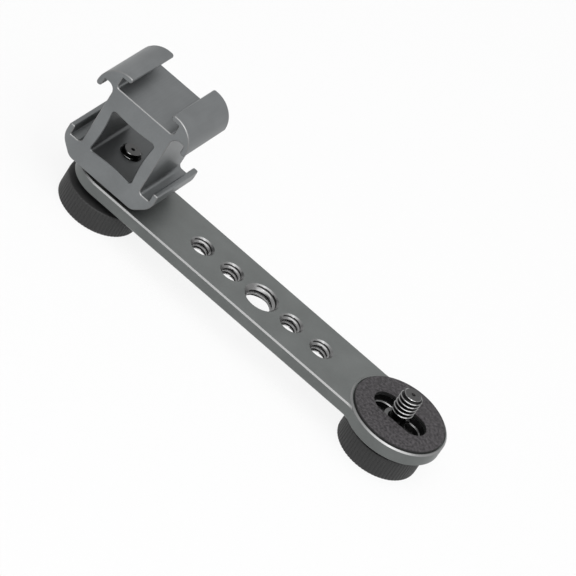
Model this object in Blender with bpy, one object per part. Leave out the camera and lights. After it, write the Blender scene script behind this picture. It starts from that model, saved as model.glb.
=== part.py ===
"""Extension arm with a three-way accessory shoe block and a sliding camera screw.

The arm lies along X with +Z up, and stands on the undersides of its two knobs at Z = 0.
Lengths below are in metres. The origin is under the middle of the whole arm.
"""
import math

import bmesh
import bpy
from mathutils import Vector

# Fits
SEAT_GAP = 0.0003            # between faces that rest on or slide against each other
THREAD_ALLOWANCE = 0.00005   # a screw's crests are this much under the nominal thread
CUT_BEYOND = 0.001           # how far a cutting shape runs past the face that it leaves by

# Arm: a flat bar with a rounded end and a wider round end
ARM_WIDTH = 0.0216
ARM_THICKNESS = 0.00385
ARM_EDGE_CHAMFER = 0.00035
ARM_END_REACH = 0.0004       # the round end's centre lies this far beyond the shoe screw
SCREW_SPACING = 0.100        # from the shoe screw's axis to the camera screw's axis
DISC_DIAMETER = 0.0288
DISC_RAISE = 0.0004          # the disc's rim stands this far above the bar
DISC_NECK_FILLET = 0.005
DISC_OVERLAP = 0.00005       # how far the bar's own outline runs inside the disc's wall

# Threads and the tapped holes along the arm
SMALL_THREAD = 0.00635       # quarter inch
LARGE_THREAD = 0.009525      # three eighths of an inch
HOLE_COUNTERSINK = 0.00042
HOLE_PITCH = 0.01057
HOLES_EACH_SIDE = 2          # small holes each side of the large one
LARGE_HOLE_FROM_SHOE = 0.0515

# Stepped slot for the camera screw
SLOT_TRAVEL = 0.0084         # how far the camera screw slides from end to end
SLOT_LEDGE = 0.00078         # width of the step all round the slot
SLOT_STEP_DEPTH = 0.0019     # depth of the wide upper part

# Rubber parts
PAD_BORDER = 0.0006          # rim left on the disc round the pad's recess
PAD_THICKNESS = 0.0008
PAD_RECESS = 0.0006          # the pad sits this deep in the disc's face
PAD_EDGE_ROUND = 0.00015
FRICTION_RING_DIAMETER = 0.020
FRICTION_RING_THICKNESS = 0.0005

# Screws
SCREW_TIP_CHAMFER = 0.0007
SCREW_TIP_DIMPLE = 0.0006    # radius of the centre mark in the end face
SCREW_HEAD_FLATS = 0.0111
SCREW_HEAD_HEIGHT = 0.0040
SCREW_HEAD_CHAMFER = 0.00045
CAMERA_SCREW_REACH = 0.0083  # end face above the arm's top
SHOE_SCREW_PROUD = 0.0009    # end face above the floor of the block's hollow
CLIP_THICKNESS = 0.0007
CLIP_GROOVE_DEPTH = 0.0007
CLIP_OPENING = math.radians(80)

# Knobs and washers
KNOB_DIAMETER = 0.0239
KNOB_HEIGHT = 0.0069
KNOB_RIB_DEPTH = 0.0002
KNOB_RIBS = 72
RIB_CREST = 0.5              # share of the pitch that is crest
RIB_FOOT = 0.8               # share of the pitch at the rib's foot
KNOB_EDGE = 0.00045          # broken upper edge
KNOB_FOOT_EDGE = 0.0007      # broken lower edge
KNOB_HUB_DIAMETER = 0.0130
KNOB_HUB_HEIGHT = 0.00055
KNOB_DISH_DEPTH = 0.0008
KNOB_DISH_RIM = 0.0017       # flat standing rim left round the dish in the underside
WASHER_DIAMETER = 0.0120
WASHER_THICKNESS = 0.00075

# Shoe block: one outline drawn out along Y
BLOCK_DEPTH = 0.0215
BLOCK_EDGE = 0.00022
SLOT_HEIGHT = 0.00359        # under the lips
LIP_THICKNESS = 0.00162
TOP_SLOT_WIDTH = 0.01984
TOP_SLOT_OPENING = 0.01412
TOP_SLOT_FLOOR = 0.02722     # above the block's base
SIDE_SLOT_WIDTH = 0.02094
SIDE_SLOT_OPENING = 0.01520
SIDE_SLOT_MIDDLE = 0.01648   # above the block's base
BLOCK_WAIST = 0.02076        # between the floors of the two side slots
BASE_FLAT_WIDTH = 0.02240
BASE_CORNER_RISE = 0.0042    # height at which the slanted lower corner meets the side
BASE_FILLET = 0.0032         # from the base flat to the slanted lower corner
CORNER_FILLET = 0.0053       # from the slanted lower corner to the side
HEAD_ROUNDING = 0.0073       # one arc from the side to the top
LIP_CORNER = 0.0003          # where a lip's underside meets its slot's wall
LOW_FLOOR_FILLET = 0.0012
HIGH_FLOOR_FILLET = 0.0023
TOP_FLOOR_FILLET = 0.0009
LIP_ROUNDING = 0.48          # radius of a full lip end, as a share of the lip's thickness
LOW_LIP_ROUNDING = 0.30      # the lowest lips have squarer ends
HOLLOW_WIDTH = 0.0146        # at its corners
HOLLOW_BOTTOM = 0.0062       # at its corners, above the block's base
HOLLOW_HEIGHT = 0.0148       # at its corners
HOLLOW_BOW = 0.00075         # how far each wall bulges inwards
HOLLOW_FILLET = 0.0009
HOLLOW_WALL_RADIUS = 0.040

# Fineness of the rounding
SMOOTH_BELOW = math.radians(32)
ARC_STEP = math.radians(15)
ROUND_SIDES = 48
BORE_SIDES = 36
DISC_SIDES = 72
SLOT_END_SIDES = 24
AXIS_MARK = 0.01             # drawn size of an axis
DISC_STEP = 2 * math.pi / DISC_SIDES

# Sizes and places that follow from the ones above
PAD_DIAMETER = DISC_DIAMETER - 2 * (PAD_BORDER + SEAT_GAP)
SCREW_DIAMETER = SMALL_THREAD - THREAD_ALLOWANCE
BLOCK_WIDTH = BLOCK_WAIST + 2 * (SLOT_HEIGHT + LIP_THICKNESS)
BLOCK_TOP = TOP_SLOT_FLOOR + SLOT_HEIGHT + LIP_THICKNESS
TOTAL_LENGTH = BLOCK_WIDTH / 2 + SCREW_SPACING + DISC_DIAMETER / 2
SHOE_X = -TOTAL_LENGTH / 2 + BLOCK_WIDTH / 2
CAMERA_X = SHOE_X + SCREW_SPACING
HUB_TOP_Z = KNOB_HEIGHT + KNOB_HUB_HEIGHT
WASHER_Z = HUB_TOP_Z + SEAT_GAP
ARM_BOTTOM_Z = WASHER_Z + WASHER_THICKNESS + SEAT_GAP
ARM_TOP_Z = ARM_BOTTOM_Z + ARM_THICKNESS
DISC_TOP_Z = ARM_TOP_Z + DISC_RAISE
RING_Z = ARM_TOP_Z + SEAT_GAP
BLOCK_Z = RING_Z + FRICTION_RING_THICKNESS + SEAT_GAP
HOLLOW_FLOOR = HOLLOW_BOTTOM + HOLLOW_BOW
PAD_Z = DISC_TOP_Z - PAD_RECESS + SEAT_GAP
CLEAR_BORE = SCREW_DIAMETER + 2 * SEAT_GAP
WIDE_SLOT = CLEAR_BORE + 2 * SLOT_LEDGE
LEDGE_Z = ARM_TOP_Z - SLOT_STEP_DEPTH
HEAD_Z = SEAT_GAP + KNOB_DISH_DEPTH
HEAD_TOP_Z = HEAD_Z + SCREW_HEAD_HEIGHT


def clear_scene():
    for thing in list(bpy.data.objects):
        bpy.data.objects.remove(thing, do_unlink=True)


def material(name, colour, roughness, metallic):
    made = bpy.data.materials.new(name)
    made.use_nodes = True
    shader = made.node_tree.nodes["Principled BSDF"]
    shader.inputs["Base Color"].default_value = (*colour, 1.0)
    shader.inputs["Roughness"].default_value = roughness
    shader.inputs["Metallic"].default_value = metallic
    return made


def add_object(name, bm, look, origin=(0.0, 0.0, 0.0), parent=None):
    """Turn a bmesh into a named object. Its mesh is drawn round the object's own origin."""
    bmesh.ops.remove_doubles(bm, verts=bm.verts, dist=1e-7)
    bmesh.ops.recalc_face_normals(bm, faces=bm.faces)
    mesh = bpy.data.meshes.new(name)
    bm.to_mesh(mesh)
    bm.free()
    mesh.shade_smooth()
    mesh.set_sharp_from_angle(angle=SMOOTH_BELOW)
    made = bpy.data.objects.new(name, mesh)
    if look is not None:
        mesh.materials.append(look)
    made.location = origin
    made.parent = parent
    bpy.context.scene.collection.objects.link(made)
    return made


def add_axis(name, place):
    """An empty on a joint's axis, which the pieces that move together are parented to."""
    empty = bpy.data.objects.new(name, None)
    empty.empty_display_size = AXIS_MARK
    empty.location = place
    bpy.context.scene.collection.objects.link(empty)
    return empty


def arc(cx, cy, radius, start, end, step=ARC_STEP):
    """Points on an arc from one angle to another, both ends included."""
    count = max(2, math.ceil(abs(end - start) / step) + 1)
    return [(cx + radius * math.cos(start + (end - start) * i / (count - 1)),
             cy + radius * math.sin(start + (end - start) * i / (count - 1))) for i in range(count)]


def rounded(corners, step=ARC_STEP):
    """A closed outline through corners (x, y, radius), each rounded by an arc of its radius."""
    outline = []
    for i, (x, y, radius) in enumerate(corners):
        here = Vector((x, y))
        before = Vector(corners[i - 1][:2]) - here
        after = Vector(corners[(i + 1) % len(corners)][:2]) - here
        half = before.angle(after) / 2
        if radius <= 0 or half > math.radians(89.9):
            outline.append((x, y))
            continue
        centre = here + (before.normalized() + after.normalized()).normalized() * radius / math.sin(half)
        first = here + before.normalized() * radius / math.tan(half) - centre
        last = here + after.normalized() * radius / math.tan(half) - centre
        start = math.atan2(first.y, first.x)
        turn = (math.atan2(last.y, last.x) - start + math.pi) % (2 * math.pi) - math.pi
        outline.extend(arc(centre.x, centre.y, radius, start, start + turn, step))
    return outline


def circle(radius, z, sides=ROUND_SIDES, cx=0.0):
    return [(cx + radius * math.cos(2 * math.pi * i / sides),
             radius * math.sin(2 * math.pi * i / sides), z) for i in range(sides)]


def hexagon(flats, z, sides):
    """A hexagon given as many points as a circle, so that the two join ring to ring."""
    points = []
    for i in range(sides):
        angle = 2 * math.pi * i / sides
        off_flat = (angle % (math.pi / 3)) - math.pi / 6
        reach = flats / 2 / math.cos(off_flat)
        points.append((reach * math.cos(angle), reach * math.sin(angle), z))
    return points


def ribbed(radius, z):
    """A ring of ribs: each rib has a flat crest and a flat valley, joined by short flanks."""
    crest = RIB_CREST / 2
    foot = RIB_FOOT / 2
    points = []
    for i in range(KNOB_RIBS):
        for share, drop in ((-foot, KNOB_RIB_DEPTH), (-crest, 0.0), (crest, 0.0), (foot, KNOB_RIB_DEPTH)):
            angle = 2 * math.pi * (i + share) / KNOB_RIBS
            reach = radius - drop
            points.append((reach * math.cos(angle), reach * math.sin(angle), z))
    return points


def at_height(outline, z):
    return [(x, y, z) for x, y in outline]


def skin(rings, loop=False):
    """Join rings of equally many points. A loop joins the last ring to the first, with no caps."""
    bm = bmesh.new()
    rows = [[bm.verts.new(p) for p in ring] for ring in rings]
    pairs = list(zip(rows, rows[1:]))
    if loop:
        pairs.append((rows[-1], rows[0]))
    for low, high in pairs:
        for i in range(len(low)):
            j = (i + 1) % len(low)
            bm.faces.new((low[i], low[j], high[j], high[i]))
    if not loop:
        bm.faces.new(rows[0])
        bm.faces.new(rows[-1])
    return bm


def turned(profile, sides=ROUND_SIDES, loop=False, cx=0.0):
    """A turned solid from (radius, z) pairs. A loop gives a washer, with a hole through it."""
    return skin([circle(radius, z, sides, cx) for radius, z in profile], loop)


def stadium(travel, width, cx):
    """A slot outline with round ends: the ends' centres are the travel apart."""
    half = math.pi / 2
    step = math.pi / SLOT_END_SIDES
    return (arc(cx + travel / 2, 0.0, width / 2, -half, half, step)
            + arc(cx - travel / 2, 0.0, width / 2, half, 3 * half, step))


def cut(target, bm, operation="DIFFERENCE"):
    """Cut a shape out of an object, or join it on. The shape stays behind as a hidden guide."""
    tool = add_object(target.name + "_tool", bm, None, parent=target)
    tool.hide_render = True
    tool.display_type = "WIRE"
    change = target.modifiers.new(operation.title(), "BOOLEAN")
    change.operation = operation
    change.solver = "EXACT"
    change.object = tool


def soften(target, width, limit=50):
    """Break the sharp edges of an object by a narrow chamfer."""
    edge = target.modifiers.new("Edges", "BEVEL")
    edge.width = width
    edge.segments = 1
    edge.limit_method = "ANGLE"
    edge.angle_limit = math.radians(limit)


def arm_outline(inset):
    """Half-round end, straight edges, and fillets out to the disc, drawn in by an inset."""
    edge = ARM_WIDTH / 2 - inset
    disc = DISC_DIAMETER / 2 - DISC_OVERLAP - inset
    fillet = DISC_NECK_FILLET + inset
    back = math.sqrt((disc + fillet) ** 2 - (edge + fillet) ** 2)
    lean = math.atan2(edge + fillet, -back)
    upper = arc(CAMERA_X - back, edge + fillet, fillet, lean - math.pi, -math.pi / 2)
    lower = [(x, -y) for x, y in reversed(upper)]
    return (arc(CAMERA_X, 0.0, disc, -lean, lean, DISC_STEP)
            + upper
            + arc(SHOE_X - ARM_END_REACH, 0.0, edge, math.pi / 2, 3 * math.pi / 2, DISC_STEP)
            + lower)


def countersunk(bore, low, high):
    """Half outline of a bore through a wall, with a chamfered mouth at both faces."""
    mouth = bore + HOLE_COUNTERSINK + CUT_BEYOND
    return [(mouth, low - CUT_BEYOND), (bore, low + HOLE_COUNTERSINK),
            (bore, high - HOLE_COUNTERSINK), (mouth, high + CUT_BEYOND)]


def plain_bore(radius, low, high):
    """Half outline of a straight bore that runs out past both faces."""
    return [(radius, low - CUT_BEYOND), (radius, high + CUT_BEYOND)]


def tapped_hole(x, thread):
    """A bore at the thread's full diameter, countersunk at the arm's upper face."""
    bore = thread / 2
    mouth = bore + HOLE_COUNTERSINK + CUT_BEYOND
    return turned([(bore, ARM_BOTTOM_Z - CUT_BEYOND), (bore, ARM_TOP_Z - HOLE_COUNTERSINK),
                   (mouth, ARM_TOP_Z + CUT_BEYOND)], BORE_SIDES, cx=x)


def prism(outline, low, high):
    return skin([at_height(outline, low), at_height(outline, high)])


def make_arm(look):
    chamfer = ARM_EDGE_CHAMFER
    levels = ((chamfer, ARM_BOTTOM_Z), (0.0, ARM_BOTTOM_Z + chamfer),
              (0.0, ARM_TOP_Z - chamfer), (chamfer, ARM_TOP_Z))
    arm = add_object("extension_arm", skin([at_height(arm_outline(i), z) for i, z in levels]), look)
    rim = DISC_DIAMETER / 2
    disc = turned([(rim - chamfer, ARM_BOTTOM_Z), (rim, ARM_BOTTOM_Z + chamfer),
                   (rim, DISC_TOP_Z - chamfer), (rim - chamfer, DISC_TOP_Z)], DISC_SIDES, cx=CAMERA_X)
    cut(arm, disc, "UNION")
    large_x = SHOE_X + LARGE_HOLE_FROM_SHOE
    for place in range(-HOLES_EACH_SIDE, HOLES_EACH_SIDE + 1):
        thread = LARGE_THREAD if place == 0 else SMALL_THREAD
        cut(arm, tapped_hole(large_x + place * HOLE_PITCH, thread))
    cut(arm, turned(plain_bore(CLEAR_BORE / 2, ARM_BOTTOM_Z, ARM_TOP_Z), BORE_SIDES, cx=SHOE_X))
    recess = PAD_DIAMETER / 2 + SEAT_GAP
    past_top = DISC_TOP_Z + CUT_BEYOND
    cut(arm, turned([(recess, DISC_TOP_Z - PAD_RECESS), (recess, past_top)], DISC_SIDES, cx=CAMERA_X))
    cut(arm, prism(stadium(SLOT_TRAVEL, CLEAR_BORE, CAMERA_X), ARM_BOTTOM_Z - CUT_BEYOND, past_top))
    cut(arm, prism(stadium(SLOT_TRAVEL, WIDE_SLOT, CAMERA_X), LEDGE_Z, past_top))


def make_pad(look):
    """The rubber face of the disc, with a slot the size of the arm's wide slot."""
    radius = PAD_DIAMETER / 2
    top = PAD_Z + PAD_THICKNESS
    pad = add_object("grip_pad", turned([(radius, PAD_Z), (radius, top - PAD_EDGE_ROUND),
                                         (radius - PAD_EDGE_ROUND, top)], DISC_SIDES, cx=CAMERA_X), look)
    cut(pad, prism(stadium(SLOT_TRAVEL, WIDE_SLOT, CAMERA_X), PAD_Z - CUT_BEYOND, top + CUT_BEYOND))


def block_outline():
    """The shoe block seen from its end, from the middle of the base round the right side."""
    waist = BLOCK_WAIST / 2
    inner = waist + SLOT_HEIGHT
    side = inner + LIP_THICKNESS
    low = SIDE_SLOT_MIDDLE - SIDE_SLOT_WIDTH / 2
    high = SIDE_SLOT_MIDDLE + SIDE_SLOT_WIDTH / 2
    low_tip = SIDE_SLOT_MIDDLE - SIDE_SLOT_OPENING / 2
    high_tip = SIDE_SLOT_MIDDLE + SIDE_SLOT_OPENING / 2
    top_tip = TOP_SLOT_OPENING / 2
    top_wall = TOP_SLOT_WIDTH / 2
    lip_under = TOP_SLOT_FLOOR + SLOT_HEIGHT
    tip = LIP_THICKNESS * LIP_ROUNDING
    square_tip = LIP_THICKNESS * LOW_LIP_ROUNDING
    right = [
        (BASE_FLAT_WIDTH / 2, 0.0, BASE_FILLET),
        (side, BASE_CORNER_RISE, CORNER_FILLET),
        (side, low_tip, square_tip),
        (inner, low_tip, square_tip),
        (inner, low, LIP_CORNER),
        (waist, low, LOW_FLOOR_FILLET),
        (waist, high, HIGH_FLOOR_FILLET),
        (inner, high, LIP_CORNER),
        (inner, high_tip, tip),
        (side, high_tip, tip),
        (side, BLOCK_TOP, HEAD_ROUNDING),
        (top_tip, BLOCK_TOP, tip),
        (top_tip, lip_under, tip),
        (top_wall, lip_under, LIP_CORNER),
        (top_wall, TOP_SLOT_FLOOR, TOP_FLOOR_FILLET),
    ]
    left = [(-x, z, radius) for x, z, radius in reversed(right)]
    return rounded(right + left)


def hollow_outline():
    """A four-cornered hollow whose walls bulge inwards."""
    across = HOLLOW_WIDTH / 2
    low = HOLLOW_BOTTOM
    high = HOLLOW_BOTTOM + HOLLOW_HEIGHT
    middle = (low + high) / 2
    bow = HOLLOW_BOW
    corner = HOLLOW_FILLET
    wall = HOLLOW_WALL_RADIUS
    return rounded([
        (-across, low, corner), (0.0, low + bow, wall), (across, low, corner),
        (across - bow, middle, wall), (across, high, corner), (0.0, high - bow, wall),
        (-across, high, corner), (-across + bow, middle, wall)], math.radians(12))


def along_depth(outline, half_depth):
    """Draw an (x, z) outline out along Y, the same way to each side of the middle."""
    return skin([[(x, y, z) for x, z in outline] for y in (-half_depth, half_depth)])


def make_block(look, axis):
    profile = along_depth(block_outline(), BLOCK_DEPTH / 2)
    block = add_object("shoe_block", profile, look, (0.0, 0.0, BLOCK_Z), axis)
    cut(block, along_depth(hollow_outline(), BLOCK_DEPTH))
    cut(block, turned(countersunk(CLEAR_BORE / 2, 0.0, HOLLOW_FLOOR), BORE_SIDES))
    soften(block, BLOCK_EDGE)


def make_friction_ring(look, axis):
    inner = CLEAR_BORE / 2 + SEAT_GAP
    outer = FRICTION_RING_DIAMETER / 2
    high = FRICTION_RING_THICKNESS
    add_object("friction_ring", turned([(inner, 0.0), (outer, 0.0), (outer, high), (inner, high)],
                                       loop=True), look, (0.0, 0.0, RING_Z), axis)


def make_washer(name, look, axis):
    inner = CLEAR_BORE / 2
    outer = WASHER_DIAMETER / 2
    high = WASHER_THICKNESS
    add_object(name, turned([(inner, 0.0), (outer, 0.0), (outer, high), (inner, high)], loop=True),
               look, (0.0, 0.0, WASHER_Z), axis)


def make_knob(name, look, axis):
    """A ribbed knob with a hub on top, and a dish and a hexagonal socket in its underside."""
    radius = KNOB_DIAMETER / 2
    sides = 4 * KNOB_RIBS
    rim = skin([circle(radius - KNOB_FOOT_EDGE, 0.0, sides), ribbed(radius, KNOB_FOOT_EDGE),
                ribbed(radius, KNOB_HEIGHT - KNOB_EDGE), circle(radius - KNOB_EDGE, KNOB_HEIGHT, sides)])
    knob = add_object(name, rim, look, (0.0, 0.0, 0.0), axis)
    hub = KNOB_HUB_DIAMETER / 2
    cut(knob, turned([(hub, KNOB_HEIGHT - CUT_BEYOND), (hub, HUB_TOP_Z)]), "UNION")
    dish = radius - KNOB_DISH_RIM
    cut(knob, turned([(dish + CUT_BEYOND, -CUT_BEYOND), (dish - KNOB_DISH_DEPTH, KNOB_DISH_DEPTH)]))
    socket_flats = SCREW_HEAD_FLATS + 2 * SEAT_GAP
    cut(knob, skin([hexagon(socket_flats, -CUT_BEYOND, BORE_SIDES),
                    hexagon(socket_flats, HEAD_TOP_Z + SEAT_GAP, BORE_SIDES)]))
    cut(knob, turned(plain_bore(CLEAR_BORE / 2, 0.0, HUB_TOP_Z), BORE_SIDES))


def make_screw(name, look, axis, tip_z, groove_z=None):
    """A hexagon-headed screw, thread upwards. The shaft stands for the thread's crests."""
    sides = BORE_SIDES
    shaft = SCREW_DIAMETER / 2
    rings = [circle(SCREW_HEAD_FLATS / 2 - SCREW_HEAD_CHAMFER, HEAD_Z, sides),
             hexagon(SCREW_HEAD_FLATS, HEAD_Z + SCREW_HEAD_CHAMFER, sides),
             hexagon(SCREW_HEAD_FLATS, HEAD_TOP_Z, sides),
             circle(shaft, HEAD_TOP_Z, sides)]
    if groove_z is not None:
        groove = shaft - CLIP_GROOVE_DEPTH
        top = groove_z + CLIP_THICKNESS + 2 * SEAT_GAP
        rings += [circle(shaft, groove_z, sides), circle(groove, groove_z, sides),
                  circle(groove, top, sides), circle(shaft, top, sides)]
    dimple = SCREW_TIP_DIMPLE
    rings += [circle(shaft, tip_z - SCREW_TIP_CHAMFER, sides),
              circle(shaft - SCREW_TIP_CHAMFER, tip_z, sides),
              circle(dimple, tip_z, sides), circle(dimple / 3, tip_z - dimple / 2, sides)]
    add_object(name, skin(rings), look, (0.0, 0.0, 0.0), axis)


def make_clip(look, axis, z):
    """An open retaining ring round the groove, resting above the slot's ledge."""
    inner = SCREW_DIAMETER / 2 - CLIP_GROOVE_DEPTH + SEAT_GAP
    outer = WIDE_SLOT / 2 - SEAT_GAP
    start = CLIP_OPENING / 2
    end = 2 * math.pi - CLIP_OPENING / 2
    outline = arc(0.0, 0.0, outer, start, end) + arc(0.0, 0.0, inner, end, start)
    add_object("camera_screw_clip", prism(outline, 0.0, CLIP_THICKNESS), look, (0.0, 0.0, z), axis)


def build():
    clear_scene()
    anodised = material("anodised_aluminium", (0.19, 0.20, 0.205), 0.42, 0.75)
    rubber = material("black_rubber", (0.055, 0.052, 0.055), 0.85, 0.0)
    plastic = material("moulded_plastic", (0.045, 0.044, 0.046), 0.55, 0.0)
    nylon = material("washer_nylon", (0.02, 0.02, 0.021), 0.5, 0.0)
    steel = material("black_steel", (0.11, 0.11, 0.115), 0.28, 0.9)
    spring = material("spring_steel", (0.35, 0.35, 0.36), 0.3, 1.0)

    make_arm(anodised)
    make_pad(rubber)

    shoe_axis = add_axis("shoe_axis", (SHOE_X, 0.0, 0.0))
    make_block(anodised, shoe_axis)
    make_friction_ring(rubber, shoe_axis)
    make_washer("shoe_washer", nylon, shoe_axis)
    make_knob("shoe_knob", plastic, shoe_axis)
    make_screw("shoe_screw", steel, shoe_axis, BLOCK_Z + HOLLOW_FLOOR + SHOE_SCREW_PROUD)

    camera_axis = add_axis("camera_axis", (CAMERA_X, 0.0, 0.0))
    make_washer("camera_washer", nylon, camera_axis)
    make_knob("camera_knob", plastic, camera_axis)
    clip_z = LEDGE_Z + SEAT_GAP
    make_screw("camera_screw", steel, camera_axis, ARM_TOP_Z + CAMERA_SCREW_REACH, clip_z - SEAT_GAP)
    make_clip(spring, camera_axis, clip_z)


build()
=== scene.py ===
# %% [markdown]
# # Dressing a shoe mount extension arm
# The object is a flat anodised arm. A block with three accessory shoes swivels on one end, and a
# captive camera screw slides in the padded disc at the other end. The frame that is loaded here
# holds plain faceted solids at their real size, already sorted into bodies that move. This lesson
# gives each of them its finished form, with real screw threads, ribbed grips and broken edges, and
# a finish worked out by shader nodes. Each plain solid is hidden once its finished piece is there.

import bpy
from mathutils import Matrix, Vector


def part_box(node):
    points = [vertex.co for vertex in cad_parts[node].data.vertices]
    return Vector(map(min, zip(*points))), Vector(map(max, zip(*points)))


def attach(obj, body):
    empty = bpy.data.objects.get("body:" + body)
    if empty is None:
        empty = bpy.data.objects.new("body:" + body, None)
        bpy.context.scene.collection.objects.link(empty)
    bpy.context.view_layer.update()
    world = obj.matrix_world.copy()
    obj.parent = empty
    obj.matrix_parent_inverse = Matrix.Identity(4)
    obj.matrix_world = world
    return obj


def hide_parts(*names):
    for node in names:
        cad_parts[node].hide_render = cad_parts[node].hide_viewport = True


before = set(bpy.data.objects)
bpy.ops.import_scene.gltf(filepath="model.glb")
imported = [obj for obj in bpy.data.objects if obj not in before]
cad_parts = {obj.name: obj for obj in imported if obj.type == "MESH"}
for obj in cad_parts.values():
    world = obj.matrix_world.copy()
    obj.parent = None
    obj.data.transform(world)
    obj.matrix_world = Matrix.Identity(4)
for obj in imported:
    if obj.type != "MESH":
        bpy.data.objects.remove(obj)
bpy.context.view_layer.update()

# %% [markdown]
# A size could be typed again here, but then the two models could drift apart. Sizes that the solids
# already hold are read from their boxes. Both knobs are round, so the middle of a knob's box lies on
# its screw's axis. The disc's top stands a little above the bar's, and only the disc's is in the box.

# %% Read places off the solids
import math

import bmesh
import bpy
from mathutils import Matrix, Vector

MM = 0.001
DISC_RAISE = 0.4 * MM


def middle(node):
    low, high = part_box(node)
    return (low + high) / 2


shoe_x = middle("shoe_knob").x
camera_x = middle("camera_knob").x
arm_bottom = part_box("extension_arm")[0].z
disc_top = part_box("extension_arm")[1].z
arm_top = disc_top - DISC_RAISE
print(f"screws {(camera_x - shoe_x) / MM:.1f} mm apart, arm {(arm_top - arm_bottom) / MM:.2f} mm thick")

# %% [markdown]
# ## The camera
# A camera could be aimed with a constraint, but then its roll is hard to set. Three plain turns
# place it instead: round the upright axis, down from the horizon, and a roll that lays the arm
# across the picture's diagonal. A long lens from about 1.4 m away keeps the perspective as flat as
# it is on the photographed object.

# %% Place the camera
CAMERA_PLACE = Vector((0.24519, -1.11456, 0.81731))
CAMERA_TURN = math.radians(12.084)
CAMERA_HEIGHT = math.radians(34.956)
CAMERA_ROLL = math.radians(33.872)
LENS_MM = 328.91
SENSOR_MM = 36.0

scene = bpy.context.scene
lens = bpy.data.cameras.new("camera")
lens.lens = LENS_MM
lens.sensor_width = SENSOR_MM
lens.clip_start = 0.1
lens.clip_end = 20.0
camera = bpy.data.objects.new("camera", lens)
turned = (Matrix.Rotation(CAMERA_TURN, 4, "Z") @ Matrix.Rotation(math.pi / 2 - CAMERA_HEIGHT, 4, "X")
          @ Matrix.Rotation(CAMERA_ROLL, 4, "Z"))
camera.matrix_world = Matrix.Translation(CAMERA_PLACE) @ turned
scene.collection.objects.link(camera)
scene.camera = camera
scene.view_settings.view_transform = "Standard"
print("camera", tuple(round(v, 3) for v in camera.location), "looks along",
      tuple(round(v, 3) for v in -camera.matrix_world.col[2].xyz))

# %% [markdown]
# ## Shader arithmetic
# A material can be built by adding and linking nodes one at a time, but the result reads like a web.
# It is easier to read as arithmetic. This class wraps the output of a node, so that a sum or a
# product written in Python adds the Math node that does it. Every other node comes from `node`,
# which sets the node's own settings first and then its sockets.

# %% Wrap a shader socket
class Signal:
    """A value that varies over a surface, from the output of a shader node."""

    def __init__(self, tree, socket=None):
        self.tree = tree
        self.socket = socket

    def node(self, kind, settings=None, inputs=None, output=0):
        made = self.tree.nodes.new("ShaderNode" + kind)
        for name, value in (settings or {}).items():
            setattr(made, name, value)
        for name, value in (inputs or {}).items():
            if isinstance(value, Signal):
                self.tree.links.new(value.socket, made.inputs[name])
            else:
                made.inputs[name].default_value = value
        return Signal(self.tree, made.outputs[output])

    def beside(self, output):
        """Another output of the node that this value comes from."""
        return Signal(self.tree, self.socket.node.outputs[output])

    def math(self, operation, first, second=0.0):
        return self.node("Math", {"operation": operation}, {0: first, 1: second})

    def __add__(self, other):
        return self.math("ADD", self, other)

    def __sub__(self, other):
        return self.math("SUBTRACT", self, other)

    def __rsub__(self, other):
        return self.math("SUBTRACT", other, self)

    def __mul__(self, other):
        return self.math("MULTIPLY", self, other)

    __radd__ = __add__
    __rmul__ = __mul__

    def sine(self):
        return self.math("SINE", self)

    def larger(self, other):
        return self.math("MAXIMUM", self, other)

    def mixed(self, low, high):
        """A colour between two, this value being the share of the second."""
        return self.node("Mix", {"data_type": "RGBA"}, {0: self, 6: low, 7: high}, 2)


print("a plain number may come first in", [name for name in vars(Signal) if name.startswith("__r")])

# %% [markdown]
# All the finishes are metal, plastic or rubber, and each starts from one Principled shader. Copying
# a finished material would also do, but then a better recipe has to be copied again. What is the
# same all over is set on the shader's own sockets, and only colour, roughness and the surface's
# grain are left to vary.

# %% Start a material
def grey(level, tint=(1.0, 1.0, 1.0)):
    """A near neutral colour, in linear light, times a tint."""
    return tuple(level * part for part in tint) + (1.0,)


def start_material(name, metallic=0.0, **constants):
    made = bpy.data.materials.new(name)
    made.use_nodes = True
    shader = made.node_tree.nodes["Principled BSDF"]
    shader.inputs["Metallic"].default_value = metallic
    for socket, value in constants.items():
        shader.inputs[socket.replace("_", " ")].default_value = value
    return made, shader, Signal(made.node_tree)


def connect(shader, **signals):
    for socket, signal in signals.items():
        signal.tree.links.new(signal.socket, shader.inputs[socket.replace("_", " ")])


print("a middle grey is", grey(0.18))

# %% [markdown]
# No real surface is one even colour. Its unevenness could be painted as a picture, but that has to
# be unwrapped and blurs in a close view, so noise is worked out instead. It is measured in metres on
# the piece itself, because generated coordinates would stretch it with the piece's shape. A bump is
# given in metres too, and is as deep on a small piece as on a large one.

# %% Place noise and bumps
CLOUD_SIZE = 9 * MM


def surface_place(nodes):
    """The place on the piece in metres, which stays put on it as it moves."""
    return nodes.node("TexCoord", output="Object")


def speckle(nodes, place, size, detail=2.0, stretch=(1.0, 1.0, 1.0)):
    """Cloudy noise from 0 to 1 whose blobs are about this size."""
    scaled = nodes.node("Mapping", {}, {"Vector": place, "Scale": stretch})
    return nodes.node("TexNoise", {}, {"Vector": scaled, "Scale": 1 / size, "Detail": detail})


def grain(nodes, height, depth):
    """A bump of this depth in metres, from a height that runs from 0 to 1."""
    return nodes.node("Bump", {}, {"Height": height, "Distance": depth, "Strength": 1.0})


print(f"clouds of {CLOUD_SIZE / MM:.0f} mm need a noise scale of {1 / CLOUD_SIZE:.0f}")
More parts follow.
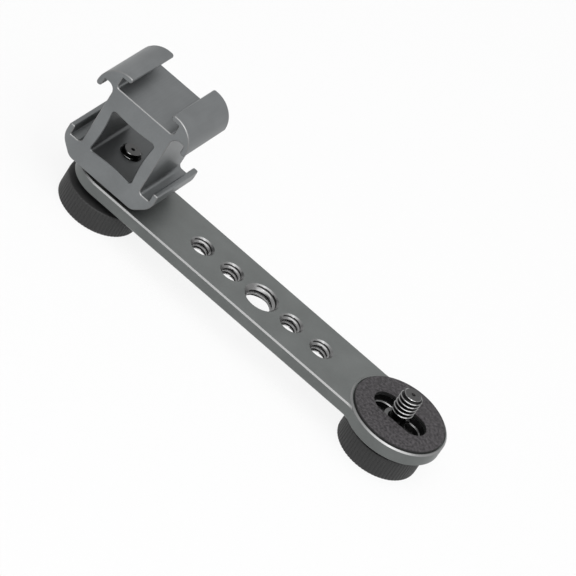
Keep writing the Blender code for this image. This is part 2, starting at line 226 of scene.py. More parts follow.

# %% [markdown]
# ## Anodised aluminium
# The arm and the block are blasted with fine beads and then anodised, which leaves a satin
# titanium grey. One flat colour would look like paint. Here a slow cloud stands for the uneven dye,
# a fine grain for the blasting, and long streaks along the block for the extrusion's drawn lines.
# The block's end faces get a paler level, which is painted light, and the walls of its hollow a darker
# one, which is painted shade, so each has a level of its own.

# %% Make the anodised finish
DYE_SPREAD = 0.35
BEAD_SIZE = 0.22 * MM
DRAWN_LINE = 0.5 * MM
BLAST_DEPTH = 0.006 * MM


def anodised_material(name, level, roughness, tint, drawn=(1.0, 1.0, 1.0)):
    made, shader, nodes = start_material(name, metallic=0.82)
    place = surface_place(nodes)
    cloud = speckle(nodes, place, CLOUD_SIZE)
    blast = speckle(nodes, place, BEAD_SIZE, 3.0)
    lines = speckle(nodes, place, DRAWN_LINE, 2.0, drawn)
    tone = 0.55 * cloud + 0.25 * blast + 0.20 * lines
    colour = tone.mixed(grey(level * (1 - DYE_SPREAD), tint), grey(level * (1 + DYE_SPREAD), tint))
    rough = roughness + 0.10 * (blast - 0.5) + 0.06 * (cloud - 0.5)
    height = 0.6 * blast + 0.4 * lines
    connect(shader, Base_Color=colour, Roughness=rough, Normal=grain(nodes, height, BLAST_DEPTH))
    return made


GREENISH = (0.955, 1.01, 0.99)
BLUISH = (0.955, 1.0, 1.02)
ALONG_BLOCK = (1.0, 0.05, 1.0)
arm_finish = anodised_material("anodised_arm", 0.148, 0.44, GREENISH)
block_finish = anodised_material("anodised_block", 0.164, 0.42, BLUISH, ALONG_BLOCK)
# The block's end faces get a paler level, which is painted light.
end_painted_light_finish = anodised_material("anodised_end_painted_light", 0.192, 0.42, BLUISH)
# The hollow's walls get a darker level, which is painted shade.
hollow_painted_shade_finish = anodised_material("anodised_hollow_painted_shade", 0.095, 0.40, BLUISH, ALONG_BLOCK)
print("made", arm_finish.name, block_finish.name, end_painted_light_finish.name, hollow_painted_shade_finish.name)

# %% [markdown]
# Edges are broken after blasting, so they are smoother and a little paler than the faces. The same
# goes for what is milled or tapped, where the cutter leaves fine turned lines. The grooves of the
# tapped holes and the walls of the slots are made nearly black, which is painted shade. These
# finishes could be masks inside the anodised material, but the edges are faces of their own in the
# mesh, so a separate material on those faces is sharper and simpler.

# %% Make the cut edges and the tapped metal
ALONG_EDGE = (0.3, 0.3, 1.0)
ROUND_HOLE = (0.1, 0.1, 2.0)
SCUFF_SIZE = 0.6 * MM
TURNED_LINE = 0.12 * MM
TURNED_DEPTH = 0.002 * MM


def cut_material(name, level, roughness, turned_lines):
    made, shader, nodes = start_material(name, metallic=0.95)
    place = surface_place(nodes)
    scuff = speckle(nodes, place, SCUFF_SIZE, 3.0)
    lines = speckle(nodes, place, TURNED_LINE, 1.0, turned_lines)
    colour = scuff.mixed(grey(level * 0.85), grey(level * 1.1))
    rough = roughness + 0.12 * (scuff - 0.5)
    connect(shader, Base_Color=colour, Roughness=rough, Normal=grain(nodes, lines, TURNED_DEPTH))
    return made


edge_finish = cut_material("cut_edge", 0.24, 0.36, ALONG_EDGE)
block_edge_finish = cut_material("block_edge", 0.21, 0.40, ALONG_EDGE)
mouth_finish = cut_material("hole_mouth", 0.19, 0.34, ROUND_HOLE)
tapped_finish = cut_material("tapped_metal", 0.22, 0.26, ROUND_HOLE)
# The holes' thread grooves are nearly black, which is painted shade.
groove_painted_shade_finish = cut_material("thread_groove_painted_shade", 0.02, 0.40, ROUND_HOLE)
# The slots' walls are nearly black, which is painted shade.
slot_painted_shade_finish = cut_material("slot_wall_painted_shade", 0.05, 0.34, ALONG_EDGE)
print("made", edge_finish.name, "and the finishes of the holes and slots")

# %% [markdown]
# ## Rubber, plastic and steel
# The pad's rubber has a fine moulded cloth pattern, so that a camera doesn't turn on it. A picture
# of cloth would be one way to show it. Two crossed sine waves give the same weave at any size, and
# noise over them breaks the pattern up, as dust and wear do.

# %% Make the rubber
WEAVE_PITCH = 0.9 * MM
WEAVE_DEPTH = 0.03 * MM
MOTTLE_SIZE = 0.8 * MM
DUST_SIZE = 0.2 * MM


def rubber_material(name, dark, light):
    made, shader, nodes = start_material(name, Specular_IOR_Level=0.3)
    place = surface_place(nodes)
    across = nodes.node("SeparateXYZ", {}, {0: place})
    along = across.beside(1)
    turn = 2 * math.pi / WEAVE_PITCH
    weave = ((across + along) * turn).sine() * ((across - along) * turn).sine()
    mottle = speckle(nodes, place, MOTTLE_SIZE, 4.0)
    fine = speckle(nodes, place, DUST_SIZE, 2.0)
    tone = 0.5 + 0.2 * weave + 2.6 * (mottle - 0.5) + 1.6 * (fine - 0.5)
    height = 0.3 * weave + 0.5 * mottle + 0.3 * fine
    connect(shader, Base_Color=tone.mixed(dark, light), Roughness=0.72 + 0.2 * (fine - 0.5),
            Normal=grain(nodes, height, WEAVE_DEPTH))
    return made


RUBBER_DARK = (0.012, 0.0115, 0.012, 1.0)
RUBBER_LIGHT = (0.084, 0.078, 0.083, 1.0)
rubber_finish = rubber_material("black_rubber", RUBBER_DARK, RUBBER_LIGHT)
# A darker copy of the rubber, as painted shade, for the pad's sides, its slot's walls and the friction ring.
rubber_painted_shade_finish = rubber_material("black_rubber_painted_shade", grey(0.012), grey(0.030))
print("made", rubber_finish.name, "and", rubber_painted_shade_finish.name)

# %% [markdown]
# The knobs are matte moulded plastic with a slight sparkle from the mould's texture, and the washers
# are smoother nylon. Two recipes could be written, but the two plastics differ only in how dark and
# how rough they are, so one recipe with two numbers serves both.

# %% Make the plastics
SHADE_SIZE = 3 * MM
SPARKLE_SIZE = 0.12 * MM
SPARKLE_DEPTH = 0.008 * MM


def plastic_material(name, level, roughness):
    made, shader, nodes = start_material(name, Specular_IOR_Level=0.45)
    place = surface_place(nodes)
    cloud = speckle(nodes, place, SHADE_SIZE)
    fine = speckle(nodes, place, SPARKLE_SIZE, 3.0)
    colour = (0.5 * cloud + 0.5 * fine).mixed(grey(level * 0.8), grey(level * 1.2))
    rough = roughness + 0.15 * (fine - 0.5)
    connect(shader, Base_Color=colour, Roughness=rough, Normal=grain(nodes, fine, SPARKLE_DEPTH))
    return made


knob_finish = plastic_material("moulded_plastic", 0.020, 0.56)
washer_finish = plastic_material("washer_nylon", 0.018, 0.42)
print("made", knob_finish.name, "and", washer_finish.name)

# %% [markdown]
# The screws are plated dark. Handling polishes their thread crests, which makes them smoother, and
# they are also given a paler colour, which is painted highlight. The grooves are nearly black, which
# is painted shade. Shading the height of the thread with a mask would blur that step, so crest and
# groove are separate faces with a steel of their own.

# %% Make the steels
ROUND_SHANK = (0.15, 0.15, 1.0)
WEAR_SIZE = 0.8 * MM
LATHE_LINE = 0.1 * MM
LATHE_DEPTH = 0.0015 * MM


def steel_material(name, level, roughness):
    made, shader, nodes = start_material(name, metallic=1.0)
    place = surface_place(nodes)
    scuff = speckle(nodes, place, WEAR_SIZE, 4.0)
    lines = speckle(nodes, place, LATHE_LINE, 1.0, ROUND_SHANK)
    colour = scuff.mixed(grey(level * 0.8), grey(level * 1.25))
    rough = roughness + 0.14 * (scuff - 0.5)
    connect(shader, Base_Color=colour, Roughness=rough, Normal=grain(nodes, lines, LATHE_DEPTH))
    return made


screw_finish = steel_material("black_steel", 0.035, 0.26)
tip_finish = steel_material("turned_tip", 0.08, 0.30)
# The crests' low roughness is real polish; their paler colour is painted highlight.
crest_painted_highlight_finish = steel_material("polished_crest_painted_highlight", 0.22, 0.13)
# The thread's roots are nearly black, which is painted shade.
root_painted_shade_finish = steel_material("thread_root_painted_shade", 0.015, 0.36)
spring_finish = steel_material("spring_steel", 0.12, 0.3)
print(len(bpy.data.materials), "finishes are ready")

# %% [markdown]
# ## Drawing in outlines
# Nearly every piece is either turned or drawn out from an outline. Such shapes could be boxes and
# cylinders with bevel modifiers, but a bevel can't follow a slot's exact radii. Here an outline is a
# handful of corners with a radius each, and `rounded` swaps each corner for its arc.

# %% Draw arcs and rounded corners
ARC_STEP = math.radians(5)


def arc(cx, cy, radius, start, end, step=ARC_STEP):
    count = max(2, math.ceil(abs(end - start) / step) + 1)
    turn = (end - start) / (count - 1)
    return [(cx + radius * math.cos(start + turn * i), cy + radius * math.sin(start + turn * i))
            for i in range(count)]


def rounded(corners):
    outline = []
    for i, (x, y, radius) in enumerate(corners):
        here = Vector((x, y))
        before = (Vector(corners[i - 1][:2]) - here).normalized()
        after = (Vector(corners[(i + 1) % len(corners)][:2]) - here).normalized()
        half = before.angle(after) / 2
        centre = here + (before + after).normalized() * radius / math.sin(half)
        first = here + before * radius / math.tan(half) - centre
        last = here + after * radius / math.tan(half) - centre
        start = math.atan2(first.y, first.x)
        turn = (math.atan2(last.y, last.x) - start + math.pi) % (2 * math.pi) - math.pi
        outline.extend(arc(centre.x, centre.y, radius, start, start + turn))
    return outline


print("a rounded corner has", len(arc(0.0, 0.0, 1.0, 0.0, math.pi / 2)), "points")

# %% [markdown]
# A broken edge needs its outline twice, the second time a little smaller. Scaling the outline would
# move its far points more than its near ones, so `grown` moves every point by the same distance,
# square to the outline. A limit keeps a very sharp corner from shooting out. The other helpers lift
# an outline into space, lying flat or standing upright.

# %% Grow outlines and lift them into space
SIDES = 96
SHARPEST = 0.3


def grown(outline, amount):
    """Move an anticlockwise outline outwards by an amount, or inwards by a negative one."""
    moved = []
    for i, here in enumerate(outline):
        before = Vector(here) - Vector(outline[i - 1])
        after = Vector(outline[(i + 1) % len(outline)]) - Vector(here)
        normal = Vector((before.y, -before.x)).normalized() + Vector((after.y, -after.x)).normalized()
        normal.normalize()
        lean = max(SHARPEST, normal.dot(Vector((after.y, -after.x)).normalized()))
        moved.append(tuple(Vector(here) + normal * amount / lean))
    return moved


def flat_ring(outline, z):
    return [(x, y, z) for x, y in outline]


def upright_ring(outline, y):
    return [(x, y, z) for x, z in outline]


def circle(radius, sides=SIDES, cx=0.0):
    step = 2 * math.pi / sides
    return [(cx + radius * math.cos(step * i), radius * math.sin(step * i)) for i in range(sides)]


print("a circle has", len(circle(1.0)), "points")

# %% [markdown]
# Every piece here can be seen as a stack of rings, each with equally many points. Lofting tools can
# join such rings too, but `skin` does it with clean quads, and lets each band between two rings take
# its own finish. A stack can be closed by two caps, or run back into its first ring.

# %% Join rings into a mesh
def skin(rings, finishes=None, loop=False, bm=None, caps=(True, True), cap_finish=0):
    """Join rings of equally many points. Finishes gives each band between rings its material."""
    bm = bm or bmesh.new()
    rows = [[bm.verts.new(point) for point in ring] for ring in rings]
    pairs = list(zip(rows, rows[1:]))
    if loop:
        pairs.append((rows[-1], rows[0]))
    for band, (low, high) in enumerate(pairs):
        for i in range(len(low)):
            j = (i + 1) % len(low)
            face = bm.faces.new((low[i], low[j], high[j], high[i]))
            face.material_index = finishes[band] if finishes else 0
    if not loop:
        for row, wanted in ((rows[0], caps[0]), (rows[-1], caps[1])):
            if wanted:
                bm.faces.new(row).material_index = cap_finish
    return bm


def add_mesh(name, bm, materials):
    bmesh.ops.remove_doubles(bm, verts=bm.verts, dist=1e-7)
    bmesh.ops.recalc_face_normals(bm, faces=bm.faces)
    mesh = bpy.data.meshes.new(name)
    bm.to_mesh(mesh)
    bm.free()
    for material in materials:
        mesh.materials.append(material)
    made = bpy.data.objects.new(name, mesh)
    scene.collection.objects.link(made)
    return made


trial = skin([flat_ring(circle(1.0, 6), z) for z in (0.0, 1.0)])
print("two hexagons are joined by", len(trial.faces), "faces")
trial.free()

# %% [markdown]
# Slots and holes are cut with Boolean modifiers, as the milling cutter and the tap cut them in the
# workshop. The exact solver is slower than the fast one, but it keeps the faces where cutter and
# plate meet in one plane. Its transfer setting gives each cut face the cutter's own finish, so a
# slot's wall needs no mask.

# %% Cut, settle and hand over a piece
SHARP_ABOVE = math.radians(34)


def cut(piece, bm, finishes, operation="DIFFERENCE"):
    """Cut a shape out of a piece, or join it on. The new faces keep the shape's finishes."""
    tool = add_mesh(piece.name + "_tool", bm, finishes)
    tool.hide_render = True
    change = piece.modifiers.new("Cut", "BOOLEAN")
    change.operation = operation
    change.solver = "EXACT"
    change.material_mode = "TRANSFER"
    change.object = tool


def settle(piece):
    """Apply the cuts, clear their tools away and shade round faces smooth."""
    graph = bpy.context.evaluated_depsgraph_get()
    made = bpy.data.meshes.new_from_object(piece.evaluated_get(graph))
    for change in list(piece.modifiers):
        bpy.data.objects.remove(change.object)
    piece.modifiers.clear()
    piece.data = made
    made.name = piece.name
    made.shade_smooth()
    made.set_sharp_from_angle(angle=SHARP_ABOVE)


def fit_out(piece, body, node):
    """Let a finished piece move with its body and stand for its plain solid."""
    settle(piece)
    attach(piece, body)
    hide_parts(node)
    size = piece.dimensions / MM
    print(f"{piece.name}: {len(piece.data.polygons)} faces, {size.x:.1f} x {size.y:.1f} x {size.z:.1f} mm")


print(f"edges of more than {math.degrees(SHARP_ABOVE):.0f} degrees stay sharp")

# %% [markdown]
# ## Screw threads
# The screws and the tapped holes have rounded threads, of the two standard camera sizes. A thread
# could be a bump in the material, but its steps show in the screw's outline. Its profile is listed
# once, from the crest down to the root, and mirrored for the other flank. A list of limits trims the
# thread where it runs out: at each height, a screw may be no wider than its limit, nor a hole narrower.

# %% Give the thread its profile
SMALL_THREAD = (6.35 * MM, 1.27 * MM)
LARGE_THREAD = (9.525 * MM, 1.5875 * MM)
THREAD_DEPTH = 0.5413
THREAD_PROFILE = ((0.04, 1.0), (0.09, 0.93), (0.17, 0.66), (0.27, 0.33), (0.37, 0.0))


def thread_phases():
    """Places up one pitch, each with its share of the thread's depth: 1 at the crest, 0 at the root."""
    return list(THREAD_PROFILE) + [(1 - place, share) for place, share in reversed(THREAD_PROFILE)]


def limit_at(limits, z):
    for (z0, r0), (z1, r1) in zip(limits, limits[1:]):
        if z <= z1:
            return r0 + (r1 - r0) * max(0.0, z - z0) / (z1 - z0)
    return limits[-1][1]


print(f"the small thread is {THREAD_DEPTH * SMALL_THREAD[1] / MM:.2f} mm deep")

# %% [markdown]
# A Screw modifier can carry a profile up a helix, but it leaves a ragged edge where the thread runs
# out. Here every column of points starts a little higher than the one before it, so that the rows
# follow crest and root exactly. Where the limits cut in, a screw takes the smaller of the two radii
# and a hole the larger one, which gives a bevelled tip and a countersunk mouth.

# %% Carry the profile up its helix
THREAD_SIDES = 72
HARDLY = 1e-6


def thread_columns(bm, thread, limits, outward, ridge, cx):
    """Columns of points round a threaded wall, from the first limit's height to the last one's. Its
    widest ridge passes the +X side at the height given as ridge. With each point come its share of
    the metal's height and whether the limits trim it."""
    diameter, pitch = thread
    major = diameter / 2
    minor = major - THREAD_DEPTH * pitch
    low, high = limits[0][0], limits[-1][0]
    turns = math.ceil((high - low) / pitch) + 3
    start = low - 2 * pitch + (ridge - low) % pitch
    columns = []
    for i in range(THREAD_SIDES):
        angle = 2 * math.pi * i / THREAD_SIDES
        column = []
        for turn in range(turns):
            for phase, share in thread_phases():
                z = min(high, max(low, start + pitch * (i / THREAD_SIDES + turn + phase)))
                full = minor + (major - minor) * share
                radius = (min if outward else max)(full, limit_at(limits, z))
                point = bm.verts.new((cx + radius * math.cos(angle), radius * math.sin(angle), z))
                column.append((point, share if outward else 1 - share, abs(radius - full) > HARDLY))
        columns.append(column)
    return columns


print("each turn of a thread has", len(thread_phases()), "rows of points")

# %% [markdown]
# Faces then join each column to the next. The last column is joined to the first one a whole turn
# further up, which is what makes the rows a helix and not a stack of rings. The finish could be
# chosen by a mask on the height, but it is simpler to give each face its own as it is made: a paler
# one near the crest, which on a screw is painted highlight, a black one in the groove, which is
# painted shade, and a third one where the limits trim the thread.

# %% Join the columns into a threaded wall
BRIGHT_ON_SCREW = 1.2
BRIGHT_IN_HOLE = 0.55


def thread_wall(bm, thread, limits, outward, ridge, cx):
    columns = thread_columns(bm, thread, limits, outward, ridge, cx)
    bright = BRIGHT_ON_SCREW if outward else BRIGHT_IN_HOLE
    last = len(columns[0]) - 1
    for i, column in enumerate(columns):
        beside = columns[(i + 1) % THREAD_SIDES]
        shift = len(thread_phases()) if i == THREAD_SIDES - 1 else 0
        for k in range(last):
            over, under = min(k + 1 + shift, last), min(k + shift, last)
            if over > under:
                lower, upper = column[k], column[k + 1]
                face = bm.faces.new((lower[0], beside[under][0], beside[over][0], upper[0]))
                near_crest = lower[1] + upper[1] > bright
                # Crest faces take the paler finish, on a screw a painted highlight; groove faces take the
                # black one, painted shade.
                face.material_index = 2 if lower[2] and upper[2] else 0 if near_crest else 1


print("a threaded wall goes round in", THREAD_SIDES, "columns")

# %% [markdown]
# ## The arm
# The arm is a milled bar with a half-round end, straight sides, and a disc joined on by two fillets.
# Its outline could be traced by eye, but the two fillets only look right when each touches both the
# straight side and the disc, so their middles are worked out from that.

# %% Draw the arm's outline
ARM_WIDTH = 21.6 * MM
DISC_DIAMETER = 28.8 * MM
NECK_FILLET = 5.0 * MM
END_REACH = 0.4 * MM
OVERLAP = 0.05 * MM


def arm_outline(inset):
    edge = ARM_WIDTH / 2 - inset
    disc = DISC_DIAMETER / 2 - OVERLAP - inset
    fillet = NECK_FILLET + inset
    back = math.sqrt((disc + fillet) ** 2 - (edge + fillet) ** 2)
    lean = math.atan2(edge + fillet, -back)
    fine = math.radians(3)
    neck = arc(camera_x - back, edge + fillet, fillet, lean - math.pi, -math.pi / 2)
    return (arc(camera_x, 0.0, disc, -lean, lean, fine)
            + neck
            + arc(shoe_x - END_REACH, 0.0, edge, math.pi / 2, 3 * math.pi / 2, fine)
            + [(x, -y) for x, y in reversed(neck)])


print("the arm's outline has", len(arm_outline(0.0)), "points")

# %% [markdown]
# The arm's outer edges are broken all round. A bevel modifier would also catch the edges of the
# slots and holes, which are broken by other amounts, so a plate is made of four rings, of which the
# first and the last are drawn a little smaller. The disc stands higher than the bar, and is joined on
# as a plate of its own. The bar's own disc end is drawn 0.05 mm small, because a Boolean is unsure of
# two walls that lie in one surface.

# %% Form the bar and the disc
ARM_EDGE = 0.4 * MM
DISC_SIDES = 180


def broken_levels(low, high, edge):
    """Inset and height of four rings round a plate whose two edges are broken."""
    return (edge, low), (0.0, low + edge), (0.0, high - edge), (edge, high)


bar_rings = [flat_ring(arm_outline(inset), z) for inset, z in broken_levels(arm_bottom, arm_top, ARM_EDGE)]
arm = add_mesh("arm_bar", skin(bar_rings, (1, 0, 1)), [arm_finish, edge_finish])
disc_rings = [flat_ring(circle(DISC_DIAMETER / 2 - inset, DISC_SIDES, camera_x), z)
              for inset, z in broken_levels(arm_bottom, disc_top, ARM_EDGE)]
cut(arm, skin(disc_rings, (1, 0, 1)), [arm_finish, edge_finish], "UNION")
print(f"arm {ARM_WIDTH / MM:.1f} mm wide, disc {DISC_DIAMETER / MM:.1f} mm across")

# %% [markdown]
# The camera screw slides in a stepped slot: wide above, where its retaining ring runs, and narrow
# below. A chamfer round the narrow part catches the light as a thin bright line. The disc also has
# a shallow recess for the pad, and the other end a plain bore for the shoe screw. Each cutter
# reaches a little past the face it starts from, because faces in one plane make a Boolean unsure.

# %% Cut the arm's slots
SLOT_TRAVEL = 8.4 * MM
WIDE_SLOT = 8.46 * MM
CLEAR_BORE = 6.9 * MM
LEDGE_DEPTH = 1.9 * MM
LEDGE_EDGE = 0.28 * MM
PAD_RECESS = 0.6 * MM
SEAT_GAP = 0.3 * MM
PAST = 0.5 * MM


def slot_outline(width, cx):
    half = math.pi / 2
    return (arc(cx + SLOT_TRAVEL / 2, 0.0, width / 2, -half, half)
            + arc(cx - SLOT_TRAVEL / 2, 0.0, width / 2, half, 3 * half))


ledge = arm_top - LEDGE_DEPTH
pad_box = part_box("grip_pad")
pad_radius = (pad_box[1].x - pad_box[0].x) / 2
recess = circle(pad_radius + SEAT_GAP, cx=camera_x)
cut(arm, skin([flat_ring(recess, z) for z in (disc_top - PAD_RECESS, disc_top + PAST)]), [arm_finish])
wide = [flat_ring(slot_outline(WIDE_SLOT, camera_x), z) for z in (ledge, disc_top + PAST)]
# The slots' walls take the nearly black finish, which is painted shade.
cut(arm, skin(wide), [slot_painted_shade_finish])
narrow_levels = ((0.0, arm_bottom - PAST), (0.0, ledge - LEDGE_EDGE),
                 (LEDGE_EDGE, ledge), (LEDGE_EDGE, ledge + PAST))
narrow = [flat_ring(slot_outline(CLEAR_BORE + 2 * more, camera_x), z) for more, z in narrow_levels]
cut(arm, skin(narrow, (0, 1, 0)), [slot_painted_shade_finish, edge_finish])
shoe_bore = [flat_ring(circle(CLEAR_BORE / 2, cx=shoe_x), z) for z in (arm_bottom - PAST, arm_top + PAST)]
cut(arm, skin(shoe_bore), [slot_painted_shade_finish])
print(f"the slot's ledge lies {(disc_top - ledge) / MM:.2f} mm below the disc's top")

# %% [markdown]
# Five tapped holes take other gear: four quarter-inch ones and a three-eighths one in the middle.
# The picture of a thread on a plain bore would look flat from this near, so each hole is cut with
# the form of a tap. The tap widens at both ends, because real holes are countersunk.

# %% Shape a tap
FIRST_GROOVE = 0.95 * MM


def tap(thread, low, high, cx, low_mouth, high_mouth):
    """The space inside a tapped hole: thread, tapered mouths, and a little beyond each face. A
    mouth is given by how much wider it is than the hole's bore."""
    minor = thread[0] / 2 - THREAD_DEPTH * thread[1]
    limits = [(low - PAST, minor + low_mouth + PAST), (low + low_mouth, minor),
              (high - high_mouth, minor), (high + PAST, minor + high_mouth + PAST)]
    bm = bmesh.new()
    thread_wall(bm, thread, limits, False, high - FIRST_GROOVE, cx)
    for z, radius in (limits[0], limits[-1]):
        bm.faces.new([bm.verts.new(point) for point in flat_ring(circle(radius, THREAD_SIDES, cx), z)])
    return bm


print(f"the first groove lies {FIRST_GROOVE / MM:.2f} mm below a hole's top")

# %% [markdown]
# The holes stand in one row, all the same distance apart. They could be placed one by one, but a
# loop keeps that distance exact. On top, the mouth is wider than the thread is deep, so that a plain
# cone shows round each hole. With the last hole the arm is finished and is handed over to its body.

# %% Tap the arm's holes
HOLE_PITCH = 10.57 * MM
LARGE_HOLE_FROM_SHOE = 51.5 * MM
COUNTERSINK = 0.42 * MM
LOWER_MOUTH = 0.4 * MM
# In the holes the grooves take the black finish, which is painted shade.
tapped_finishes = [tapped_finish, groove_painted_shade_finish, mouth_finish]
for place in (-2, -1, 0, 1, 2):
    thread = SMALL_THREAD if place else LARGE_THREAD
    hole_x = shoe_x + LARGE_HOLE_FROM_SHOE + place * HOLE_PITCH
    upper_mouth = THREAD_DEPTH * thread[1] + COUNTERSINK
    cut(arm, tap(thread, arm_bottom, arm_top, hole_x, LOWER_MOUTH, upper_mouth), tapped_finishes)
fit_out(arm, "arm", "extension_arm")

# %% [markdown]
# ## The grip pad
# A disc of rubber sits in the recess and stands a little above the metal, so that the camera rests
# on rubber only. A cylinder with a bevel would do, but the slot cut through the pad keeps its sharp
# edge, so the disc is turned from a profile with a small rounding at its upper rim. Its sides and
# the slot's walls take the darker rubber, which is painted shade.

# %% Form the pad
PAD_ROUND = 0.15 * MM
HALFWAY_ROUND = 0.3
pad_low, pad_high = pad_box[0].z, pad_box[1].z
pad_profile = ((pad_radius, pad_low), (pad_radius, pad_high - PAD_ROUND),
               (pad_radius - PAD_ROUND * HALFWAY_ROUND, pad_high - PAD_ROUND * HALFWAY_ROUND),
               (pad_radius - PAD_ROUND, pad_high))
pad_rings = [flat_ring(circle(r, cx=camera_x), z) for r, z in pad_profile]
pad = add_mesh("grip_pad_face", skin(pad_rings, (1, 1, 1)), [rubber_finish, rubber_painted_shade_finish])
pad_slot = slot_outline(WIDE_SLOT, camera_x)
pad_cutter = [flat_ring(pad_slot, z) for z in (pad_low - PAST, pad_high + PAST)]
cut(pad, skin(pad_cutter), [rubber_painted_shade_finish])
fit_out(pad, "arm", "grip_pad")

# %% [markdown]
# ## The shoe block
# The block is a length of extrusion: one outline with three shoe slots, drawn out along Y. It could
# be carved from a box with three cutters, but the lips' curled tips and the rounded shoulders all
# lie in the one outline, so that outline is drawn instead. Only the right half is listed, and the
# left half mirrors it. Each row holds a corner's place and its radius.

# %% Draw the block's outline
SLOT_HEIGHT = 3.59 * MM
LIP = 1.62 * MM
LIP_ROUND = LIP * 0.48
LOW_LIP_ROUND = LIP * 0.3
TOP_SLOT_FLOOR = 27.22 * MM
TOP_SLOT_HALF = 9.92 * MM
TOP_OPENING_HALF = 7.06 * MM
SIDE_SLOT_MIDDLE = 16.48 * MM
SIDE_SLOT_HALF = 10.47 * MM
SIDE_OPENING_HALF = 7.6 * MM
BASE_HALF = 11.2 * MM
BASE_CORNER_RISE = 4.2 * MM
HEAD_ROUNDING = 7.3 * MM
SLOT_CORNER = 0.3 * MM
block_low, block_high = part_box("shoe_block")
block_z = block_low.z


def block_outline():
    side = (block_high.x - block_low.x) / 2
    inner = side - LIP
    waist = inner - SLOT_HEIGHT
    low, high = SIDE_SLOT_MIDDLE - SIDE_SLOT_HALF, SIDE_SLOT_MIDDLE + SIDE_SLOT_HALF
    low_tip, high_tip = SIDE_SLOT_MIDDLE - SIDE_OPENING_HALF, SIDE_SLOT_MIDDLE + SIDE_OPENING_HALF
    top = TOP_SLOT_FLOOR + SLOT_HEIGHT + LIP
    right = [
        (BASE_HALF, 0.0, 3.2 * MM), (side, BASE_CORNER_RISE, 5.3 * MM),
        (side, low_tip, LOW_LIP_ROUND), (inner, low_tip, LOW_LIP_ROUND),
        (inner, low, SLOT_CORNER), (waist, low, 1.2 * MM),
        (waist, high, 2.3 * MM), (inner, high, SLOT_CORNER),
        (inner, high_tip, LIP_ROUND), (side, high_tip, LIP_ROUND),
        (side, top, HEAD_ROUNDING),
        (TOP_OPENING_HALF, top, LIP_ROUND), (TOP_OPENING_HALF, top - LIP, LIP_ROUND),
        (TOP_SLOT_HALF, top - LIP, SLOT_CORNER), (TOP_SLOT_HALF, TOP_SLOT_FLOOR, 0.9 * MM),
    ]
    outline = rounded(right + [(-x, z, radius) for x, z, radius in reversed(right)])
    return [(shoe_x + x, block_z + z) for x, z in outline]


profile = block_outline()
print("the block's outline has", len(profile), "points")

# %% [markdown]
# A hollow runs right through the block to save weight. Its four walls bow into it a little, so that
# the metal is thickest in the middle of each wall. A bow could be an arc worked out by hand, but
# `rounded` gives it too, as one more corner with a very large radius.

# %% Draw the hollow's outline
HOLLOW_HALF = 7.3 * MM
HOLLOW_BOTTOM = 6.2 * MM
HOLLOW_HEIGHT = 14.8 * MM
HOLLOW_BOW = 0.75 * MM
HOLLOW_FILLET = 0.9 * MM
WALL_RADIUS = 40 * MM


def hollow_outline():
    low, high = HOLLOW_BOTTOM, HOLLOW_BOTTOM + HOLLOW_HEIGHT
    half, bow = HOLLOW_HALF, HOLLOW_BOW
    middle_z = (low + high) / 2
    outline = rounded([
        (-half, low, HOLLOW_FILLET), (0.0, low + bow, WALL_RADIUS), (half, low, HOLLOW_FILLET),
        (half - bow, middle_z, WALL_RADIUS), (half, high, HOLLOW_FILLET), (0.0, high - bow, WALL_RADIUS),
        (-half, high, HOLLOW_FILLET), (-half + bow, middle_z, WALL_RADIUS)])
    return [(shoe_x + x, block_z + z) for x, z in outline]


hollow = hollow_outline()
print("the hollow's outline has", len(hollow), "points")

# %% [markdown]
# The ends are sawn square and their edges broken. A bevel modifier would also round the slots' own
# corners, so the chamfer at each end is one narrow band between two outlines instead. The caps take
# the paler finish, which is painted light.

# %% Draw the block out
BLOCK_EDGE = 0.22 * MM
block_half = (block_high.y - block_low.y) / 2
block_levels = ((-block_half, -BLOCK_EDGE), (BLOCK_EDGE - block_half, 0.0),
                (block_half - BLOCK_EDGE, 0.0), (block_half, -BLOCK_EDGE))
block_rings = [upright_ring(grown(profile, more), y) for y, more in block_levels]
block = add_mesh("shoe_block_body", skin(block_rings, (1, 0, 1), cap_finish=2),
                 [block_finish, block_edge_finish, end_painted_light_finish])
print(f"the block is {2 * block_half / MM:.1f} mm long")

# %% [markdown]
# The shoe screw turns in a tapped hole in the block's base, which opens into the hollow. The hollow
# could be left as a plain cut with its rim bevelled later, but then the rim has to be picked out. Its
# cutter flares at both ends instead, and breaks the rim in the same stroke.

# %% Cut the hollow and tap the base
flare = BLOCK_EDGE + PAST
rim = ((-block_half - PAST, flare), (BLOCK_EDGE - block_half, 0.0),
       (block_half - BLOCK_EDGE, 0.0), (block_half + PAST, flare))
hollow_rings = [upright_ring(grown(hollow, more), y) for y, more in rim]
# The hollow's walls take the darker finish, which is painted shade.
cut(block, skin(hollow_rings), [hollow_painted_shade_finish])
hollow_floor = block_z + HOLLOW_BOTTOM + HOLLOW_BOW
base_mouth = THREAD_DEPTH * SMALL_THREAD[1] + COUNTERSINK
cut(block, tap(SMALL_THREAD, block_z, hollow_floor, shoe_x, base_mouth, base_mouth), tapped_finishes)
fit_out(block, "shoe_block", "shoe_block")

# %% [markdown]
# ## Rings and washers
# A thin friction ring lies between block and arm, and a nylon washer between each knob and the arm.
# A torus or a cylinder would have the wrong edges. Each is turned instead: a short profile with
# broken corners, carried round the screw and closed on itself.

# %% Turn the rings
RING_EDGE = 0.08 * MM


def turned_ring(name, node, body, inner, finish):
    low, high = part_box(node)
    cx = (low.x + high.x) / 2
    outer = (high.x - low.x) / 2
    edge = RING_EDGE
    section = [(inner, low.z + edge), (inner + edge, low.z), (outer - edge, low.z), (outer, low.z + edge),
               (outer, high.z - edge), (outer - edge, high.z), (inner + edge, high.z), (inner, high.z - edge)]
    bm = skin([flat_ring(circle(r, cx=cx), z) for r, z in section], loop=True)
    fit_out(add_mesh(name, bm, [finish]), body, node)


